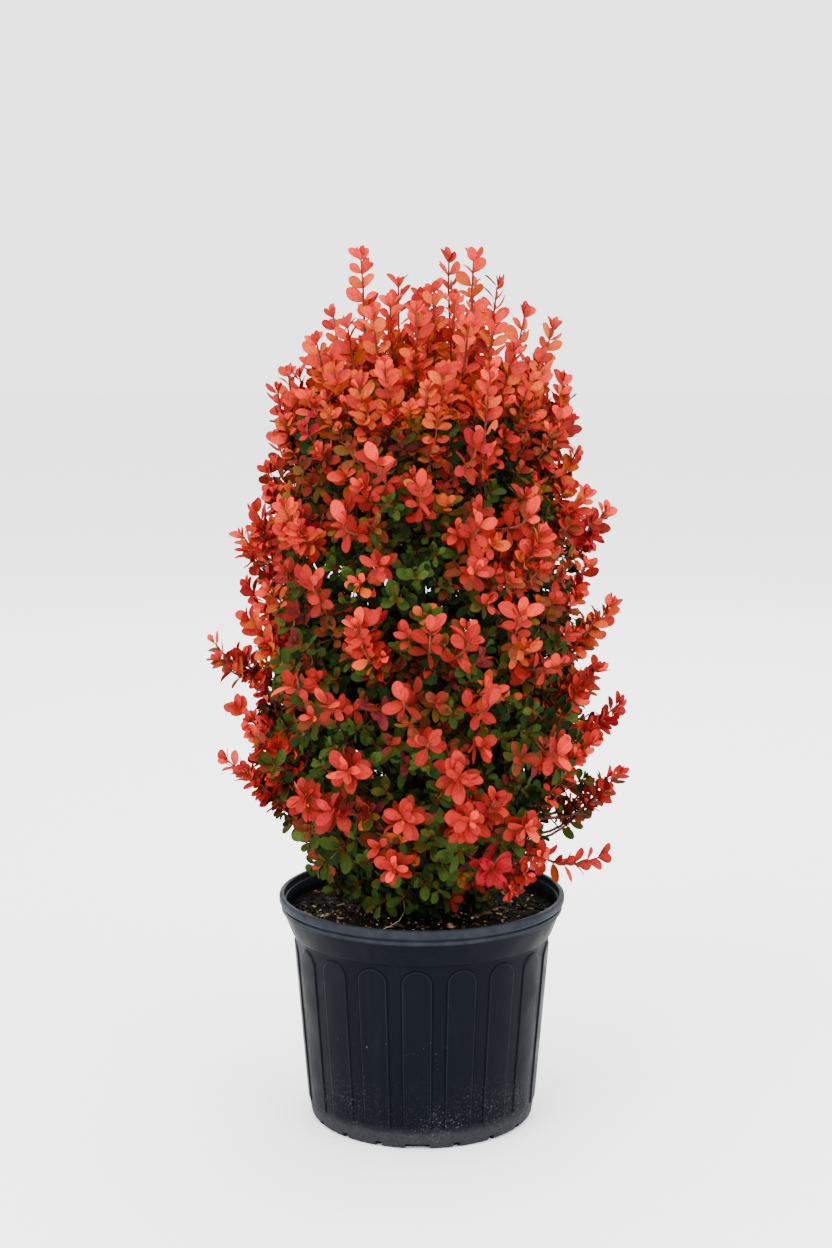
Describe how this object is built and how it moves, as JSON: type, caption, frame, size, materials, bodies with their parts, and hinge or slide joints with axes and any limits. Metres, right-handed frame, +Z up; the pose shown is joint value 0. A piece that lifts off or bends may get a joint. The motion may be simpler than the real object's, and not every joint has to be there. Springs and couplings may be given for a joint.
{
  "type": "potted japanese barberry",
  "caption": "Upright, dense japanese barberry shrub with coral autumn foliage over green, growing in a black fluted nursery pot.",
  "frame": {"origin": "middle of the pot's flat underside, which stands on the ground", "axes": "+Z up, and -Y towards the front of the picture"},
  "size_m": [0.4051, 0.347, 0.8479],
  "materials": {
    "pot_plastic": "black polypropylene with a low sheen, dusty towards the foot",
    "growing_mix": "moist dark composted bark with light perlite grains",
    "bark": "reddish brown ridged bark",
    "foliage": "thin smooth leaves, coral to orange outside and green inside"
  },
  "bodies": {
    "root": {"pot": "pot_plastic", "growing_mix": "growing_mix", "stem": "bark", "bough_low_1": "bark", "bough_low_2": "bark", "bough_low_3": "bark", "bough_low_4": "bark", "bough_low_5": "bark", "bough_mid_1": "bark", "bough_mid_2": "bark", "bough_mid_3": "bark", "bough_mid_4": "bark", "bough_mid_5": "bark", "bough_mid_6": "bark", "bough_high_1": "bark", "bough_high_2": "bark", "bough_high_3": "bark", "bough_high_4": "bark", "bough_high_5": "bark", "bough_top": "bark", "foliage_low_1": "foliage", "foliage_low_2": "foliage", "foliage_low_3": "foliage", "foliage_low_4": "foliage", "foliage_low_5": "foliage", "foliage_mid_1": "foliage", "foliage_mid_2": "foliage", "foliage_mid_3": "foliage", "foliage_mid_4": "foliage", "foliage_mid_5": "foliage", "foliage_mid_6": "foliage", "foliage_high_1": "foliage", "foliage_high_2": "foliage", "foliage_high_3": "foliage", "foliage_high_4": "foliage", "foliage_high_5": "foliage", "foliage_top": "foliage"}
  },
  "joints": []
}
